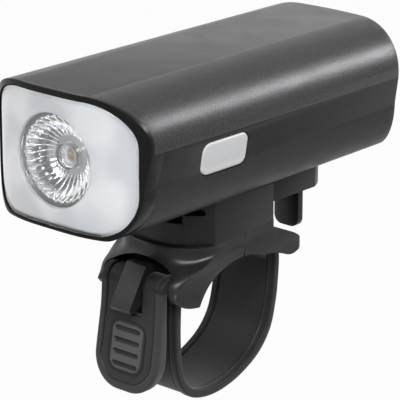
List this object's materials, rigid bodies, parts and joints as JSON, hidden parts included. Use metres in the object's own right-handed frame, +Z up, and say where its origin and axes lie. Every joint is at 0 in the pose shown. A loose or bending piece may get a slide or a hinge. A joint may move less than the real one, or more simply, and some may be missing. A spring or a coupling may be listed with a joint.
{
  "type": "bike headlight",
  "caption": "Bicycle headlight: loaf-shaped lamp with a milky front and fluted lens, sliding off a saddle bracket held to the handlebar by a hooked elastic strap.",
  "frame": {"origin": "on the handlebar's axis, at the middle of the mount's width", "axes": "+X along the handlebar to the side with the power button, +Y to the rear of the lamp, so the beam points to -Y, +Z up"},
  "size_m": [0.0496, 0.1029, 0.0867],
  "materials": {
    "shell_aluminium": "bead-blasted, dark grey anodised",
    "black_plastic": "fine spark-eroded grain",
    "bracket_gloss": "satin to gloss moulded black",
    "tongue_plastic": "plain moulded, slightly springy",
    "black_rubber": "matt silicone",
    "frosted_silicone": "translucent frosted silicone",
    "clear_cover": "clear polished",
    "clear_lens": "clear polished, fluted flank",
    "milky_plastic": "milky white diffuser",
    "bright_reflector": "vacuum-metallised plastic, mirror bright",
    "led_yellow": "phosphor under clear silicone",
    "board_white": "white solder mask",
    "board_green": "green solder mask",
    "bare_aluminium": "sawn and milled",
    "lead_red": "silicone insulated wire",
    "cell_sleeve": "shrink sleeve",
    "nickel": "nickel plated",
    "chip_black": "moulded epoxy",
    "dark_steel": "black oxide"
  },
  "bodies": {
    "bracket": {"bracket_block": "black_plastic", "bracket_base": "bracket_gloss", "bracket_screws": "dark_steel", "saddle_pad": "black_rubber", "strap": "black_rubber", "strap_pin": "dark_steel"},
    "strap_end": {"strap_tab": "black_rubber"},
    "tongue": {"release_tongue": "tongue_plastic"},
    "button": {"power_button": "frosted_silicone", "button_plunger": "chip_black"},
    "flap": {"port_flap": "black_rubber"},
    "lamp": {"upper_shell": "shell_aluminium", "lower_shell": "black_plastic", "shell_screws": "dark_steel", "front_rim": "black_plastic", "front_cover": "clear_cover", "milky_panel": "milky_plastic", "light_tray": "milky_plastic", "beam_lens": "clear_lens", "lens_cup": "bright_reflector", "beam_led": "led_yellow", "flood_leds": "led_yellow", "led_board": "board_white", "heat_spreader": "bare_aluminium", "led_leads": "lead_red", "battery_cells": "cell_sleeve", "cell_cradle": "black_plastic", "cell_tabs": "nickel", "driver_board": "board_green", "driver_parts": "chip_black", "rear_cap": "black_plastic", "charge_socket": "nickel", "flap_pin": "dark_steel", "button_switch": "nickel", "switch_board": "board_green", "status_lights": "led_yellow", "lamp_foot": "black_plastic", "foot_screws": "dark_steel", "tongue_rivets": "dark_steel"}
  },
  "joints": [
    {"name": "lamp_slide", "type": "slide", "parent": "bracket", "child": "lamp", "axis": [0, 1, 0], "range_m": [0, 0.03], "deforming": ["release_tongue"]},
    {"name": "tongue_press", "type": "hinge", "parent": "lamp", "child": "tongue", "pos_m": [0, -0.005, 0.0292], "axis": [1, 0, 0], "range_deg": [0, 4.5], "stiffness_Nm_per_rad": 2, "deforming": ["release_tongue"]},
    {"name": "button_press", "type": "slide", "parent": "lamp", "child": "button", "axis": [-1, 0, 0], "range_m": [0, 0.0006], "stiffness_N_per_m": 1500},
    {"name": "flap_turn", "type": "hinge", "parent": "lamp", "child": "flap", "pos_m": [0, 0.0495, 0.04991], "axis": [-1, 0, 0], "range_deg": [0, 100]},
    {"name": "tab_pull", "type": "hinge", "parent": "bracket", "child": "strap_end", "pos_m": [0, -0.025, 0.0111], "axis": [-1, 0, 0], "range_deg": [0, 70], "stiffness_Nm_per_rad": 0.05}
  ]
}
